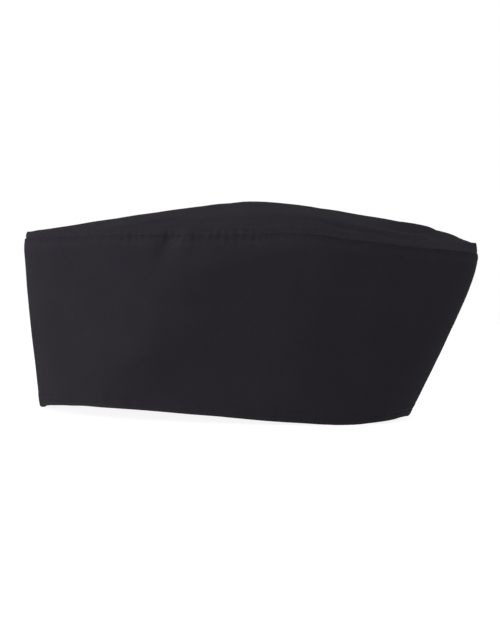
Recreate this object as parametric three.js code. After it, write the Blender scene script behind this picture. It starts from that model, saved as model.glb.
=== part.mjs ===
// A chef's skull cap of dark twill: a tall band that slants in to the rim, and a domed crown sewn on it.
// Millimetres, +Z up. The front of the cap is at -X, its back at +X, and the side at -Y is the near side.
// The origin lies under the middle of the cap, on the surface that it rests on.
import * as THREE from "three";

// Driving sizes of the rim, measured outside
const rimLength = 194.3;
const rimWidth = 158;
const rimForward = 11;
const rimLift = 4.6;
const rimBow = 0.8;

// Driving sizes of the crown seam, measured outside in its ditch
const seamLength = 235.4;
const seamWidth = 182.5;
const seamForward = -0.35;
const seamHeight = 88.7;
const seamSag = 4;

// The rolled shoulder of the band under the seam
const shoulderOut = 6.6;
const shoulderHeight = 15;

// The crown: its standing lip and its dome
const lipOut = 1.6;
const lipHeight = 6.5;
const crownRise = 22.4;
const peakBack = 1.5;

// Cloth, hem and seam allowances
const clothThickness = 1.1;
const clearance = 0.3;
const hemHeight = 6.5;
const crownAllowance = 8;
const backAllowance = 18;
const edgeBlend = 2.5;
const hemLifted = 0.5;
const allowanceDrop = 1.4;

// Folds, each table below gives shares of these
const puckerDepth = 1.8;
const foldHeight = 2.4;
const foldWidth = 4;
const cornerPush = 2.2;

// Colours and finish
const bandColour = 0x2a282d;
const crownColour = 0x2d2b30;
const insideColour = 0x252328;
const clothRoughness = 0.92;

// How finely the cloth is drawn round the cap: the gathered stretch takes closer columns
const columns = 96;
const gathered = { middle: 0.4, spread: 0.13, closer: 1.6 };

// Every "turn" below is a share of the way from the front, 0, round a side to the back, 1.
// The rim touches the surface at the front and at both rear sides, and lifts a little in between.
const rimLine = [
  { turn: 0, lift: 0 },
  { turn: 0.045, lift: 0 },
  { turn: 0.09, lift: 0.3 },
  { turn: 0.15, lift: 0.6 },
  { turn: 0.21, lift: 0.83 },
  { turn: 0.28, lift: 1 },
  { turn: 0.45, lift: 0.76 },
  { turn: 0.6, lift: 0.24 },
  { turn: 0.66, lift: 0 },
  { turn: 0.7, lift: 0 },
  { turn: 0.76, lift: 0.13 },
  { turn: 0.88, lift: 0.45 },
  { turn: 1, lift: 0.22 },
];

// The seam sags at the rear sides, where the crown hangs over the band.
const seamLine = [
  { turn: 0, sag: 0.12 },
  { turn: 0.1, sag: 0.5 },
  { turn: 0.2, sag: 0.62 },
  { turn: 0.3, sag: 0.45 },
  { turn: 0.4, sag: 0.37 },
  { turn: 0.48, sag: 0.12 },
  { turn: 0.54, sag: -0.2 },
  { turn: 0.62, sag: 0.5 },
  { turn: 0.76, sag: 1 },
  { turn: 0.88, sag: 0.95 },
  { turn: 1, sag: 0 },
];

// How far the shoulder stands out and reaches down, as shares of its two driving sizes
const shoulderLine = [
  { turn: 0, out: 0.4, height: 0.6 },
  { turn: 0.5, out: 0.5, height: 0.8 },
  { turn: 0.75, out: 0.62, height: 1.05 },
  { turn: 1, out: 0.73, height: 1.6 },
];

// How tall the crown's lip is and how far it stands out, as shares of its two driving sizes
const lipLine = [
  { turn: 0, out: 0.5, height: 0.5 },
  { turn: 0.5, out: 0.6, height: 0.6 },
  { turn: 0.75, out: 0.8, height: 0.75 },
  { turn: 0.9, out: 0.6, height: 1 },
  { turn: 1, out: 0.05, height: 0.6 },
];

// The shoulder's section: how far it still draws in, at a share of its height below the seam
const shoulderSection = [
  { down: 0, inset: 1 },
  { down: 0.1, inset: 0.58 },
  { down: 0.22, inset: 0.4 },
  { down: 0.34, inset: 0.27 },
  { down: 0.55, inset: 0.12 },
  { down: 0.76, inset: 0.04 },
  { down: 1, inset: 0 },
];

// The lip's section, as shares of its stand-out and its height above the seam
const lipSection = [
  { along: -1, out: 0, up: 0 },
  { along: -0.78, out: 0.8, up: 0.12 },
  { along: -0.52, out: 1, up: 0.42 },
  { along: -0.25, out: 0.8, up: 0.78 },
  { along: 0, out: 0, up: 1 },
];

// The dome's section: its rise from the lip, 0, in to the peak, 1, at the front, the sides and the back
const domeSection = [
  { inward: 0, front: 0, side: 0, back: 0 },
  { inward: 0.04, front: 0.04, side: 0.08, back: 0.055 },
  { inward: 0.1, front: 0.1, side: 0.19, back: 0.19 },
  { inward: 0.2, front: 0.205, side: 0.35, back: 0.38 },
  { inward: 0.33, front: 0.355, side: 0.5, back: 0.545 },
  { inward: 0.5, front: 0.54, side: 0.68, back: 0.695 },
  { inward: 0.68, front: 0.75, side: 0.85, back: 0.85 },
  { inward: 0.85, front: 0.91, side: 0.95, back: 0.96 },
  { inward: 1, front: 1, side: 1, back: 1 },
];

// Puckers and pleats under the seam on the near side, as shares of the pucker depth and the band's height;
// lean is how far round a pleat moves on its way down.
const puckers = [
  { turn: 0.335, lean: 0.002, width: 0.006, depth: 0.5, reach: 0.07 },
  { turn: 0.376, lean: -0.014, width: 0.0075, depth: 1, reach: 0.16 },
  { turn: 0.403, lean: -0.024, width: 0.01, depth: -0.5, reach: 0.24 },
  { turn: 0.42, lean: -0.006, width: 0.006, depth: 0.45, reach: 0.09 },
  { turn: 0.443, lean: 0.002, width: 0.006, depth: 0.4, reach: 0.08 },
  { turn: 0.463, lean: 0, width: 0.006, depth: 0.6, reach: 0.08 },
  { turn: 0.484, lean: 0, width: 0.006, depth: 0.4, reach: 0.07 },
];

// Soft folds of the crown, each along a line from one place to another; a valley has a negative height.
const crownFolds = [
  { turn: 0.54, inward: 0.04, turnEnd: 0.7, inwardEnd: -0.02, width: 0.9, height: 0.4 },
  { turn: 0.58, inward: 0.13, turnEnd: 0.69, inwardEnd: 0, width: 0.9, height: -0.6 },
  { turn: 0.64, inward: 0.1, turnEnd: 0.82, inwardEnd: 0.01, width: 1.2, height: 0.5 },
  { turn: 0.74, inward: 0.16, turnEnd: 0.88, inwardEnd: 0.12, width: 1.2, height: -0.35 },
  { turn: 0.78, inward: 0.28, turnEnd: 0.94, inwardEnd: 0.2, width: 1.5, height: 0.35 },
  { turn: 0.3, inward: 0.03, turnEnd: 0.36, inwardEnd: 0.26, width: 0.8, height: 0.35 },
  { turn: 0.33, inward: -0.02, turnEnd: 0.385, inwardEnd: 0.2, width: 0.8, height: -0.4 },
  { turn: 0.03, inward: 0.12, turnEnd: 0.18, inwardEnd: 0.17, width: 1.2, height: -0.25 },
];

// The band's blunt front corner, from the seam down to the rim, where the lit front turns to the side
const cornerLine = [
  { down: 0, turn: 0.52, push: 0 },
  { down: 0.1, turn: 0.45, push: 0.4 },
  { down: 0.25, turn: 0.38, push: 1 },
  { down: 0.6, turn: 0.355, push: 1 },
  { down: 1, turn: 0.265, push: 0.7 },
];
const cornerWidth = 0.08;

// Rows of the drawn cloth, as shares down the band and along the crown's section
const bandOutsideRows = [0, 0.018, 0.042, 0.07, 0.107, 0.17, 0.28, 0.42, 0.58, 0.74, 0.88, 0.95, 1];
const allowanceRows = [0, 0.4, 1];
const insideRows = [0.25, 0.5, 0.75];
const crownOutsideRows = [0.93, 0.82, 0.66, 0.5, 0.36, 0.24, 0.15, 0.08, 0.03, 0, -0.25, -0.52, -0.78, -1];
const crownInsideRows = [0.92, 0.75, 0.5, 0.3, 0.15, 0.06, 0, -0.4, -1];

const mix = (a, b, share) => a + (b - a) * share;

const ease = (share) => {
  const s = Math.min(1, Math.max(0, share));
  return s * s * (3 - 2 * s);
};

// Reads one column of a table at any place, smoothly and without overshoot, level at both ends.
function readTable(rows, place, column, at) {
  const last = rows.length - 1;
  if (at <= rows[0][place]) return rows[0][column];
  if (at >= rows[last][place]) return rows[last][column];
  const rise = (i) => (rows[i + 1][column] - rows[i][column]) / (rows[i + 1][place] - rows[i][place]);
  const slope = (i) => {
    if (i === 0 || i === last) return 0;
    const before = rise(i - 1);
    const after = rise(i);
    return before * after <= 0 ? 0 : (2 * before * after) / (before + after);
  };
  let k = 0;
  while (at > rows[k + 1][place]) k += 1;
  const span = rows[k + 1][place] - rows[k][place];
  const s = (at - rows[k][place]) / span;
  const start = rows[k][column] + slope(k) * span * s;
  const end = rows[k + 1][column] + slope(k + 1) * span * (s - 1);
  return mix(start, end, ease(s));
}

// An angle round the cap starts at the front and passes the near side first.
const turnOf = (angle) => (angle <= Math.PI ? angle : 2 * Math.PI - angle) / Math.PI;

// A plan outline shaped like an egg: its front end is longer and a little more pointed than its back.
const frontShare = 0.535;
const frontFullness = 1.95;
const backFullness = 2.05;
function egg(angle, length, width, forward) {
  const along = Math.cos(angle);
  const across = Math.sin(angle);
  const fullness = mix(backFullness, frontFullness, (1 + along) / 2);
  const reach = (Math.abs(along) ** fullness + Math.abs(across) ** fullness) ** (-1 / fullness);
  const half = length * (along > 0 ? frontShare : 1 - frontShare);
  const middle = length * (frontShare - 0.5) - forward;
  return new THREE.Vector2(middle - along * reach * half, (-across * reach * width) / 2);
}

const rimPlan = (angle) => egg(angle, rimLength, rimWidth, rimForward);
const seamPlan = (angle) => egg(angle, seamLength, seamWidth, seamForward);

// The level direction straight out of the seam's outline
function outOf(angle) {
  const step = 0.01;
  const before = seamPlan(angle - step);
  const after = seamPlan(angle + step);
  return new THREE.Vector3(after.y - before.y, before.x - after.x, 0).normalize();
}

// The heights of the rim and of the seam above the surface that the cap rests on
const rimUp = (angle) => rimLift * readTable(rimLine, "turn", "lift", turnOf(angle));
const seamUp = (angle) => seamHeight - seamSag * readTable(seamLine, "turn", "sag", turnOf(angle));

// How far the puckers under the seam push the band out on its near side
function puckerPush(angle, down) {
  if (angle > Math.PI) return 0;
  let push = 0;
  for (const pucker of puckers) {
    const share = down / pucker.reach;
    const off = (turnOf(angle) - pucker.turn - pucker.lean * share) / pucker.width;
    push -= puckerDepth * pucker.depth * Math.exp(-off * off) * (1 - ease(share));
  }
  return push;
}

// How far the blunt front corner stands out
function cornerOut(angle, down) {
  const off = (turnOf(angle) - readTable(cornerLine, "down", "turn", down)) / cornerWidth;
  return cornerPush * readTable(cornerLine, "down", "push", down) * Math.exp(-off * off);
}

// The outer face of the band without its puckers, at a share of the way down from the seam to the rim
function smoothBand(angle, down) {
  const turn = turnOf(angle);
  const top = seamUp(angle);
  const low = rimUp(angle);
  const out = shoulderOut * readTable(shoulderLine, "turn", "out", turn);
  const height = shoulderHeight * readTable(shoulderLine, "turn", "height", turn);
  const inset = out * readTable(shoulderSection, "down", "inset", (down * (top - low)) / height);
  const bow = rimBow * 4 * down * (1 - down);
  const push = out * (1 - down) - inset + bow + cornerOut(angle, down);
  const plan = seamPlan(angle).lerp(rimPlan(angle), down);
  return new THREE.Vector3(plan.x, plan.y, mix(top, low, down)).addScaledVector(outOf(angle), push);
}

// The outer face of the crown without its folds: up its lip from -1 at the seam to 0, then in to the peak, 1
function smoothCrown(angle, along) {
  const inward = Math.max(0, along);
  const front = Math.max(0, Math.cos(angle)) ** 2;
  const back = Math.max(0, -Math.cos(angle)) ** 2;
  const rise =
    front * readTable(domeSection, "inward", "front", inward) +
    back * readTable(domeSection, "inward", "back", inward) +
    (1 - front - back) * readTable(domeSection, "inward", "side", inward);
  const turn = turnOf(angle);
  const lip = lipHeight * readTable(lipLine, "turn", "height", turn);
  const lipUp = mix(clearance / 2, lip, readTable(lipSection, "along", "up", along));
  const up = mix(seamUp(angle) + lipUp, seamHeight + crownRise, rise);
  const seam = seamPlan(angle);
  const x = mix(seam.x, peakBack, inward);
  const y = mix(seam.y, 0, inward);
  const fullOut = lipOut * readTable(lipLine, "turn", "out", turn);
  const out = fullOut * readTable(lipSection, "along", "out", along);
  return new THREE.Vector3(x, y, up).addScaledVector(outOf(angle), out);
}

// How far the crown's folds raise or lower it on its near side
function foldRise(angle, along) {
  if (angle > Math.PI) return 0;
  const halfRound = (Math.PI * (seamLength + seamWidth)) / 4;
  const toPeak = seamWidth / 2;
  const inward = Math.max(0, along);
  let rise = 0;
  for (const fold of crownFolds) {
    const alongX = (fold.turnEnd - fold.turn) * halfRound;
    const alongY = (fold.inwardEnd - fold.inward) * toPeak;
    const x = (turnOf(angle) - fold.turn) * halfRound;
    const y = (inward - fold.inward) * toPeak;
    const share = (x * alongX + y * alongY) / (alongX ** 2 + alongY ** 2);
    const off = (x * alongY - y * alongX) / Math.hypot(alongX, alongY) / (foldWidth * fold.width);
    const fade = ease(4 * share) * ease(4 * (1 - share));
    rise += foldHeight * fold.height * fade * Math.exp(-off * off);
  }
  return rise * ease(1 + along);
}

// The direction out of a smooth face: level at the cloth's edges, and square to the face away from them.
// Facing is 1 where the share grows downwards and -1 where it grows upwards.
function outward(face, facing, angle, share, edge) {
  const step = 0.004;
  const round = face(angle + step, share).sub(face(angle - step, share));
  const across = face(angle, share + step).sub(face(angle, share - step));
  const square = across.cross(round).multiplyScalar(facing).normalize();
  return outOf(angle).multiplyScalar(1 - edge).addScaledVector(square, edge).normalize();
}

const wallHeight = (angle) => seamUp(angle) - rimUp(angle);

// A point of the band's cloth, moved inwards from its outer face
function bandSheet(angle, down, inwards) {
  const fromEdge = Math.min(down, 1 - down) * wallHeight(angle);
  const direction = outward(smoothBand, 1, angle, down, ease(fromEdge / edgeBlend));
  const point = smoothBand(angle, down).addScaledVector(outOf(angle), puckerPush(angle, down));
  return point.addScaledVector(direction, -inwards);
}

// A point of the crown's cloth, moved inwards from its outer face
function crownSheet(angle, along, inwards) {
  const fromEdge = (along + 1) * lipHeight;
  const direction = outward(smoothCrown, -1, angle, along, ease((2 * fromEdge) / edgeBlend));
  const point = smoothCrown(angle, along);
  point.z += foldRise(angle, along);
  return point.addScaledVector(direction, -inwards);
}

// The angles of the columns, closer together where the cloth is gathered
function columnAngles() {
  const fine = 3600;
  const reached = [0];
  for (let i = 0; i < fine; i += 1) {
    const angle = (2 * Math.PI * (i + 0.5)) / fine;
    const off = (turnOf(angle) - gathered.middle) / gathered.spread;
    const closer = angle < Math.PI ? gathered.closer * Math.exp(-off * off) : 0;
    reached.push(reached[i] + 1 + closer);
  }
  const found = [];
  let k = 0;
  for (let c = 0; c < columns; c += 1) {
    const goal = (reached[fine] * c) / columns;
    while (reached[k + 1] <= goal) k += 1;
    const share = (goal - reached[k]) / (reached[k + 1] - reached[k]);
    found.push((2 * Math.PI * (k + share)) / fine);
  }
  return found;
}

const roundAngles = columnAngles();

function meshOf(name, corners, faces, colour) {
  const geometry = new THREE.BufferGeometry();
  const places = corners.flatMap((corner) => corner.toArray());
  geometry.setAttribute("position", new THREE.Float32BufferAttribute(places, 3));
  geometry.setIndex(faces);
  geometry.computeVertexNormals();
  const material = new THREE.MeshStandardMaterial({
    color: colour,
    roughness: clothRoughness,
    metalness: 0,
  });
  const mesh = new THREE.Mesh(geometry, material);
  mesh.name = name;
  return mesh;
}

// Joins two rings that start at the given corners by pairs of triangles, closed or open round the cap.
// Inside rings run the other way, so their triangles are turned to lie parallel to those outside.
function joinRings(faces, first, second, count, { closed = true, inside = false } = {}) {
  for (let c = 0; c < (closed ? count : count - 1); c += 1) {
    const next = (c + 1) % count;
    if (inside) {
      faces.push(first + c, second + c, first + next);
      faces.push(first + next, second + c, second + next);
    } else {
      faces.push(first + c, second + next, first + next);
      faces.push(first + c, second + c, second + next);
    }
  }
}

// A closed wall of cloth: its rings run down the outside and back up the inside.
function wallOf(name, outside, inside, colour) {
  const faces = [];
  const rings = [...outside, ...inside];
  const count = rings[0].length;
  rings.forEach((ring, i) => {
    const next = (i + 1) % rings.length;
    joinRings(faces, i * count, next * count, count, { inside: i >= outside.length });
  });
  return meshOf(name, rings.flat(), faces, colour);
}

// A patch of cloth: the same rings, open round the cap and closed at both ends
function patchOf(name, outside, inside, colour) {
  const faces = [];
  const rings = [...outside, ...inside];
  const count = rings[0].length;
  rings.forEach((ring, i) => {
    const next = (i + 1) % rings.length;
    joinRings(faces, i * count, next * count, count, { closed: false, inside: i >= outside.length });
  });
  for (let i = 0; i + 1 < outside.length; i += 1) {
    const outer = i * count;
    const inner = (rings.length - 1 - i) * count;
    const end = count - 1;
    faces.push(outer, inner, outer + count);
    faces.push(outer + count, inner, inner - count);
    faces.push(outer + end, outer + count + end, inner + end);
    faces.push(outer + count + end, inner - count + end, inner + end);
  }
  return meshOf(name, rings.flat(), faces, colour);
}

// A closed dome of cloth: its rings run from the outer peak down the outside, then up the inside.
function domeOf(name, outerPeak, outside, inside, innerPeak, colour) {
  const faces = [];
  const rings = [...outside, ...inside];
  const count = rings[0].length;
  const outer = rings.length * count;
  const inner = outer + 1;
  const last = (rings.length - 1) * count;
  for (let i = 0; i + 1 < rings.length; i += 1) {
    joinRings(faces, i * count, (i + 1) * count, count, { inside: i >= outside.length });
  }
  for (let c = 0; c < count; c += 1) {
    const next = (c + 1) % count;
    faces.push(outer, c, next);
    faces.push(inner, last + next, last + c);
  }
  return meshOf(name, [...rings.flat(), outerPeak, innerPeak], faces, colour);
}

// The strips inside the band start and end at rows of its inside, so that they lie parallel to it.
const allowanceDepths = () => allowanceRows.map((share) => allowanceDrop + share * crownAllowance);
const hemDepths = (angle) => [wallHeight(angle) - hemHeight, wallHeight(angle) - hemLifted];

function backDepths(angle, gap) {
  const top = allowanceDrop + crownAllowance + gap;
  const low = wallHeight(angle) - hemHeight - gap;
  return [top, ...insideRows.map((share) => mix(top, low, share)), low];
}

function insideDepths(angle) {
  const between = backDepths(angle, 0).slice(1, -1);
  return [0, ...allowanceDepths(), ...between, ...hemDepths(angle), wallHeight(angle)];
}

// The rings of one face of a strip of cloth, at the depths below the seam that a function gives
function ringsAt(someAngles, depthsOf, inwards) {
  const count = depthsOf(0).length;
  const ring = (i) =>
    someAngles.map((angle) => bandSheet(angle, depthsOf(angle)[i] / wallHeight(angle), inwards));
  return Array.from({ length: count }, (_, i) => ring(i));
}

// The two faces of a strip that lies inside the band
function stripFaces(someAngles, depthsOf) {
  const near = clothThickness + clearance;
  const outside = ringsAt(someAngles, depthsOf, near);
  const inside = ringsAt(someAngles, depthsOf, near + clothThickness).reverse();
  return [outside, inside];
}

function makeBand() {
  const outsideDepths = (angle) => bandOutsideRows.map((share) => share * wallHeight(angle));
  const outside = ringsAt(roundAngles, outsideDepths, 0);
  const inside = ringsAt(roundAngles, insideDepths, clothThickness);
  for (const corner of [...outside[0], ...inside[0]]) corner.z -= clearance / 2;
  return wallOf("side_band", outside, inside.reverse(), bandColour);
}

function makeCrown() {
  const ring = (along, inwards) => roundAngles.map((angle) => crownSheet(angle, along, inwards));
  const outside = crownOutsideRows.map((along) => ring(along, 0));
  const inside = crownInsideRows.map((along) => ring(along, clothThickness)).reverse();
  const outerPeak = smoothCrown(0, 1);
  const innerPeak = outerPeak.clone();
  innerPeak.z -= clothThickness;
  return domeOf("crown", outerPeak, outside, inside, innerPeak, crownColour);
}

function makeHem() {
  return wallOf("hem", ...stripFaces(roundAngles, hemDepths), insideColour);
}

function makeCrownAllowance() {
  return wallOf("crown_seam_allowance", ...stripFaces(roundAngles, allowanceDepths), insideColour);
}

function makeBackAllowance() {
  const halfAngle = (2 * backAllowance) / (rimWidth + seamWidth);
  const backAngles = [-1, -0.5, 0, 0.5, 1].map((share) => Math.PI + share * halfAngle);
  const depths = (angle) => backDepths(angle, clearance);
  return patchOf("back_seam_allowance", ...stripFaces(backAngles, depths), insideColour);
}

const group = new THREE.Group();
group.name = "chef_skull_cap";
group.add(makeCrown(), makeBand(), makeHem(), makeCrownAllowance(), makeBackAllowance());

export default group;
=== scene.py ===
# A chef's skull cap of near-black twill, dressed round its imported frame.
# The front of the cap is at -X, its back at +X, and the side at -Y is the near side.
import math

import bpy
import numpy as np
from mathutils import Matrix


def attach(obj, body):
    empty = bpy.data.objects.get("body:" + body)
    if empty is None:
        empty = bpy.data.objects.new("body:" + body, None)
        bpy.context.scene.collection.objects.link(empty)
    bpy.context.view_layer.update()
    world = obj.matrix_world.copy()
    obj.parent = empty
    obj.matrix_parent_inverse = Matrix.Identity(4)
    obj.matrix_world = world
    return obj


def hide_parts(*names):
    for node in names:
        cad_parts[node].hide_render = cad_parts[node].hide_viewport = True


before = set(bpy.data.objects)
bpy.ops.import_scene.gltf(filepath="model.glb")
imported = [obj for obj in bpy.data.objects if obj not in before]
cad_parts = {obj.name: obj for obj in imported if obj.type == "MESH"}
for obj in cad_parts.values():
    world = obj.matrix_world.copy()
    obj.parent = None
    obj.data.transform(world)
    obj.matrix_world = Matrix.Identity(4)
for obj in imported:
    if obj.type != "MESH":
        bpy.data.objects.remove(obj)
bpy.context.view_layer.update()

MM = 0.001

# Driving sizes of the cap's frame, in millimetres, as in its solids
RIM_LENGTH, RIM_WIDTH, RIM_FORWARD, RIM_LIFT, RIM_BOW = 194.3, 158.0, 11.0, 4.6, 0.8
SEAM_LENGTH, SEAM_WIDTH, SEAM_FORWARD, SEAM_HEIGHT, SEAM_SAG = 235.4, 182.5, -0.35, 88.7, 4.0
SHOULDER_OUT, SHOULDER_HEIGHT = 6.6, 15.0
LIP_OUT, LIP_HEIGHT, CROWN_RISE, PEAK_BACK = 1.6, 6.5, 22.4, 1.5
CLOTH, CLEARANCE, HEM = 1.1, 0.3, 6.5
ALLOWANCE, ALLOWANCE_DROP, BACK_ALLOWANCE = 8.0, 1.4, 18.0
FRONT_SHARE, FRONT_FULLNESS, BACK_FULLNESS = 0.535, 1.95, 2.05
CORNER_PUSH, CORNER_WIDTH = 2.2, 0.08
EDGE_BLEND = 2.5

# Soft shapes that are finer than in the solids, in millimetres
FOLD_HEIGHT, FOLD_WIDTH = 3.8, 4.0
SEAM_LIFT, LIP_LEAN = 1.1, 2.8
REAR_BOW, FRONT_BOW = 0.75, 0.45
RIDGE_BROAD, RIDGE_FINE = 1.9, 0.42
HEM_STEP, STITCH_GROOVE, STITCH_UP = 0.1, 0.12, 4.3
BACK_GROOVE, BACK_STEP = 0.55, 0.14
SEAM_ROLL, HEM_ROLL = 0.55, 1.0
LIP_CREASE = 0.3
BAND_BROAD, BAND_SLACK, BAND_SNUG, BAND_ROPEY = 0.12, 0.05, 0.13, 0.09
CROWN_BROAD, CROWN_SLACK, CROWN_ROPEY = 0.28, 0.07, 0.06
OVERLOCK_PITCH, OVERLOCK_RADIUS = 2.2, 0.17
CROWN_OVERLOCK_REACH, BACK_OVERLOCK_REACH = 4.6, 3.6
# The share of the depth in the tables that the gathers are given
GATHER_SHARE = 0.68

# Every turn is a share of the way from the front, 0, round a side to the back, 1.
# The rim's lift, a little rounder than in the solids, and the seam's sag: turn, share
RIM_LINE = (
    (0, 0), (0.045, 0), (0.09, 0.3), (0.15, 0.6), (0.21, 0.83), (0.28, 1), (0.45, 0.76),
    (0.5, 0.59), (0.56, 0.36), (0.62, 0.19), (0.66, 0.06), (0.7, 0), (0.76, 0.12), (0.83, 0.3),
    (0.89, 0.45), (1, 0.22),
)
SEAM_LINE = (
    (0, 0.12), (0.1, 0.5), (0.2, 0.62), (0.3, 0.45), (0.4, 0.37), (0.48, 0.12),
    (0.54, -0.2), (0.62, 0.5), (0.76, 1), (0.88, 0.95), (1, 0),
)
# turn, out, height
SHOULDER_LINE = ((0, 0.4, 0.6), (0.5, 0.5, 0.8), (0.75, 0.62, 1.05), (1, 0.73, 1.6))
LIP_LINE = ((0, 0.5, 0.5), (0.5, 0.6, 0.6), (0.75, 0.8, 0.75), (0.9, 0.6, 1), (1, 0.05, 0.6))
# down, inset
SHOULDER_SECTION = (
    (0, 1), (0.1, 0.58), (0.22, 0.4), (0.34, 0.27), (0.55, 0.12), (0.76, 0.04), (1, 0),
)
# along, out, up
LIP_SECTION = ((-1, 0, 0), (-0.78, 0.8, 0.12), (-0.52, 1, 0.42), (-0.25, 0.8, 0.78), (0, 0, 1))
# inward, front, side, back
DOME_SECTION = (
    (0, 0, 0, 0), (0.04, 0.04, 0.08, 0.055), (0.1, 0.1, 0.19, 0.19), (0.2, 0.205, 0.35, 0.38),
    (0.33, 0.355, 0.5, 0.545), (0.5, 0.54, 0.68, 0.695), (0.68, 0.75, 0.85, 0.85),
    (0.85, 0.91, 0.95, 0.96), (1, 1, 1, 1),
)
# The blunt front corner of the band: down, turn, push
CORNER_LINE = ((0, 0.52, 0), (0.1, 0.45, 0.4), (0.25, 0.38, 1), (0.6, 0.355, 1), (1, 0.265, 0.7))

# Puckers and the pleat under the seam: turn, lean, half width in turn, depth (a ridge is negative),
# reach down
NEAR_PUCKERS = (
    (0.318, 0.002, 0.0028, 0.35, 0.06), (0.329, 0.003, 0.0026, 0.7, 0.075),
    (0.338, 0.004, 0.0024, 0.55, 0.085), (0.348, -0.002, 0.0024, 0.4, 0.07),
    (0.3765, -0.001, 0.0026, 0.7, 0.07), (0.3805, -0.008, 0.0092, 2.1, 0.28),
    (0.3855, -0.008, 0.0026, 0.8, 0.06), (0.3945, -0.004, 0.0026, 0.6, 0.08),
    (0.403, -0.024, 0.010, -1.25, 0.24),
    (0.4125, 0.001, 0.0026, 0.7, 0.07), (0.4225, -0.006, 0.005, 0.5, 0.09),
    (0.434, -0.002, 0.0024, 0.4, 0.06), (0.4435, 0.001, 0.0028, 0.75, 0.07),
    (0.4525, 0.001, 0.0026, 0.7, 0.07), (0.4635, 0, 0.0036, 1.05, 0.09),
    (0.4745, 0, 0.0026, 0.65, 0.065), (0.4840, 0, 0.0026, 0.65, 0.065),
    (0.4915, 0, 0.0024, 0.6, 0.06), (0.498, 0, 0.0026, 0.55, 0.06),
    (0.508, 0.001, 0.004, 0.5, 0.05), (0.522, 0, 0.003, 0.3, 0.045),
)
FAR_PUCKERS = (
    (0.30, 0.002, 0.003, 0.35, 0.06), (0.322, 0.004, 0.0028, 0.5, 0.08),
    (0.334, -0.002, 0.0026, 0.45, 0.06), (0.351, 0.006, 0.0045, 0.9, 0.13),
    (0.37, -0.014, 0.008, -0.6, 0.2), (0.382, 0.001, 0.0028, 0.6, 0.07),
    (0.395, -0.003, 0.0034, 0.7, 0.09), (0.409, 0.001, 0.0026, 0.5, 0.06),
    (0.423, 0, 0.003, 0.6, 0.08), (0.439, 0.002, 0.004, 0.8, 0.1),
    (0.452, 0, 0.0026, 0.5, 0.06), (0.468, -0.001, 0.003, 0.55, 0.07),
    (0.486, 0, 0.003, 0.45, 0.06), (0.51, 0.001, 0.0034, 0.35, 0.05),
)
# Soft folds of the crown: turn, inward, end turn, end inward, width, height (a valley is negative)
NEAR_FOLDS = (
    (0.54, 0.05, 0.7, -0.02, 0.7, 0.32), (0.555, 0.17, 0.7, 0.01, 0.9, -0.17),
    (0.62, 0.12, 0.8, 0.01, 0.9, 0.36), (0.7, 0.17, 0.85, 0.08, 0.9, -0.14),
    (0.76, 0.235, 0.885, 0.155, 1.3, 0.39), (0.865, 0.13, 0.935, 0.1, 0.8, 0.17),
    (0.29, 0.05, 0.36, 0.26, 1.0, 0.1), (0.33, 0.0, 0.38, 0.16, 1.2, -0.07),
    (0.03, 0.12, 0.18, 0.17, 1.2, -0.12),
)
FAR_FOLDS = (
    (0.5, 0.05, 0.66, 0.0, 1.1, 0.22), (0.56, 0.16, 0.7, 0.05, 1.1, -0.2),
    (0.68, 0.13, 0.84, 0.03, 1.3, 0.25), (0.34, 0.04, 0.4, 0.24, 0.9, -0.15),
    (0.12, 0.14, 0.27, 0.2, 1.3, -0.12),
)
# How band and crown meet in their seam: turn, share of the shoulder that is flat, how far the edges
# stand out, share of SEAM_ROLL that rounds them
SEAM_EDGES = (
    (0, 0.05, 0.35, 0.2), (0.04, 0.15, 0.4, 0.15), (0.12, 0.68, 0.45, 0.1), (0.29, 0.66, 0.45, 0.12),
    (0.35, 0.3, 0.75, 0.25), (0.5, 0.3, 0.75, 0.2), (0.57, 0.82, 0.42, 0.1), (0.82, 0.82, 0.42, 0.1),
    (0.94, 0.08, 0.3, 0.25), (1, 0, 0.3, 0.3),
)


def mix(a, b, share):
    return a + (b - a) * share


def ease(share):
    s = np.clip(share, 0, 1)
    return s * s * (3 - 2 * s)


def read_table(rows, column, at):
    """Reads one column of a table at any place, smoothly and without overshoot, level at both ends"""
    rows = np.asarray(rows, float)
    places, values = rows[:, 0], rows[:, column]
    at = np.clip(at, places[0], places[-1])
    span = np.diff(places)
    rise = np.diff(values) / span
    slope = np.zeros(len(places))
    before, after = rise[:-1], rise[1:]
    same = before * after > 0
    slope[1:-1][same] = 2 * before[same] * after[same] / (before[same] + after[same])
    k = np.clip(np.searchsorted(places, at, side="left") - 1, 0, len(span) - 1)
    s = (at - places[k]) / span[k]
    start = values[k] + slope[k] * span[k] * s
    end = values[k + 1] + slope[k + 1] * span[k] * (s - 1)
    return mix(start, end, ease(s))


def unit(vectors):
    return vectors / np.maximum(np.linalg.norm(vectors, axis=-1, keepdims=True), 1e-12)


def turn_of(angle):
    return np.abs(np.mod(angle + math.pi, 2 * math.pi) - math.pi) / math.pi


def egg(angle, length, width, forward):
    """A plan outline whose front end is longer and a little more pointed than its back"""
    along, across = np.cos(angle), np.sin(angle)
    fullness = mix(BACK_FULLNESS, FRONT_FULLNESS, (1 + along) / 2)
    reach = (np.abs(along) ** fullness + np.abs(across) ** fullness) ** (-1 / fullness)
    half = length * np.where(along > 0, FRONT_SHARE, 1 - FRONT_SHARE)
    middle = length * (FRONT_SHARE - 0.5) - forward
    return middle - along * reach * half, -across * reach * width / 2


def rim_plan(angle):
    return egg(angle, RIM_LENGTH, RIM_WIDTH, RIM_FORWARD)


def seam_plan(angle):
    return egg(angle, SEAM_LENGTH, SEAM_WIDTH, SEAM_FORWARD)


def out_of(angle):
    """The level direction straight out of the seam's outline"""
    step = 0.01
    bx, by = seam_plan(angle - step)
    ax, ay = seam_plan(angle + step)
    return unit(np.stack([ay - by, bx - ax, 0 * ax], -1))


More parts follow.
